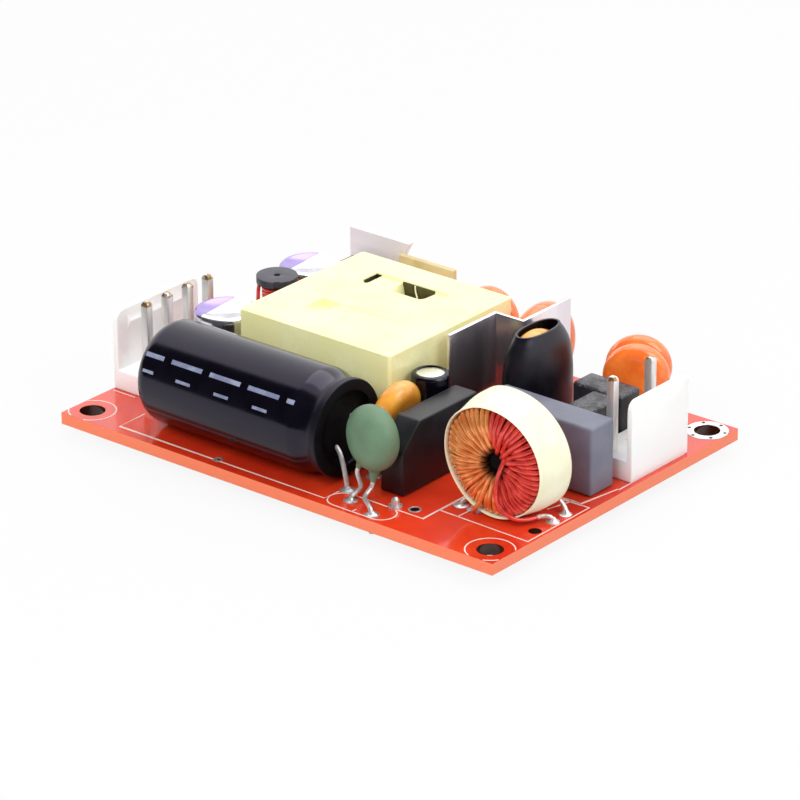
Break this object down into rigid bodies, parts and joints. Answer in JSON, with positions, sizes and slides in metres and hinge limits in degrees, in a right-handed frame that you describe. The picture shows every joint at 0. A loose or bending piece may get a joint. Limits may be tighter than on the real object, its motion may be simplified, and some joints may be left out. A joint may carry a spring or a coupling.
{
  "type": "open frame power supply",
  "caption": "Open-frame mains power supply: a board carrying a lying bulk capacitor, taped transformer, wound ring choke, disc capacitors, folded heatsink and pin headers.",
  "frame": {"origin": "centre of the rectangle of mounting holes, on the underside of the board", "axes": "+X along the board's length, towards the input header; +Y across the board, away from the bulk capacitor; +Z from the solder side to the component side"},
  "size_m": [0.0712, 0.0508, 0.0184],
  "materials": {
    "board": "translucent red-orange solder mask over fibreglass",
    "bare_aluminium": "bright drawn can",
    "black_sleeve": "glossy shrunk sleeve",
    "bung_rubber": "matt",
    "tinned_wire": "tinned copper wire",
    "ferrite": "matt sintered ferrite",
    "drum_ferrite": "matt grey ferrite",
    "bobbin_plastic": "moulded phenolic",
    "yellow_tape": "smooth polyester tape",
    "red_enamel": "enamelled copper wire, glossy",
    "copper_enamel": "enamelled copper wire, glossy",
    "cream_tape": "matt tape",
    "header_plastic": "white nylon",
    "header_pin": "tinned square pin",
    "thermistor_coat": "matt sage-green coating",
    "amber_coat": "glossy epoxy coating",
    "orange_coat": "glossy epoxy coating",
    "black_epoxy": "moulded epoxy",
    "film_plastic": "moulded lilac-grey case",
    "fuse_plastic": "moulded case",
    "heatsink_metal": "folded sheet, smooth",
    "rear_plate": "cut sheet, satin",
    "zinc_screw": "plated steel",
    "beige_board": "pressboard",
    "chip_body": "chip parts",
    "solder": "bright solder"
  },
  "bodies": {
    "root": {"board": "board", "bulk_can": "bare_aluminium", "bulk_sleeve": "black_sleeve", "bulk_bung": "bung_rubber", "bulk_leads": "tinned_wire", "transformer_core_left": "ferrite", "transformer_core_right": "ferrite", "transformer_bobbin": "bobbin_plastic", "transformer_winding": "yellow_tape", "transformer_tape": "yellow_tape", "transformer_pins": "tinned_wire", "drum_choke_core": "drum_ferrite", "drum_choke_winding": "red_enamel", "drum_choke_leads": "red_enamel", "polymer_cans": "bare_aluminium", "polymer_bungs": "bung_rubber", "polymer_leads": "tinned_wire", "output_header_base": "header_plastic", "output_header_pins": "header_pin", "input_header_base": "header_plastic", "input_header_pins": "header_pin", "thermistor_body": "thermistor_coat", "thermistor_leads": "tinned_wire", "y_capacitor_body": "amber_coat", "y_capacitor_leads": "tinned_wire", "small_can": "bare_aluminium", "small_sleeve": "black_sleeve", "small_bung": "bung_rubber", "small_leads": "tinned_wire", "rectifier_body": "black_epoxy", "rectifier_leads": "tinned_wire", "choke_core": "ferrite", "choke_copper_winding": "copper_enamel", "choke_red_winding": "red_enamel", "choke_tape": "cream_tape", "choke_leads": "red_enamel", "film_case": "film_plastic", "film_leads": "tinned_wire", "varistor_sleeve": "black_sleeve", "varistor_disc": "orange_coat", "varistor_leads": "tinned_wire", "heatsink": "heatsink_metal", "rear_heatsink": "rear_plate", "diode_body": "black_epoxy", "diode_leads": "tinned_wire", "diode_screw": "zinc_screw", "insulator_strip": "beige_board", "disc_capacitors": "orange_coat", "disc_capacitor_leads": "tinned_wire", "fuse_bodies": "fuse_plastic", "fuse_leads": "tinned_wire", "test_pin": "header_pin", "controller_chip": "black_epoxy", "optocoupler": "black_epoxy", "chip_parts": "chip_body", "solder_joints": "solder"}
  },
  "joints": []
}
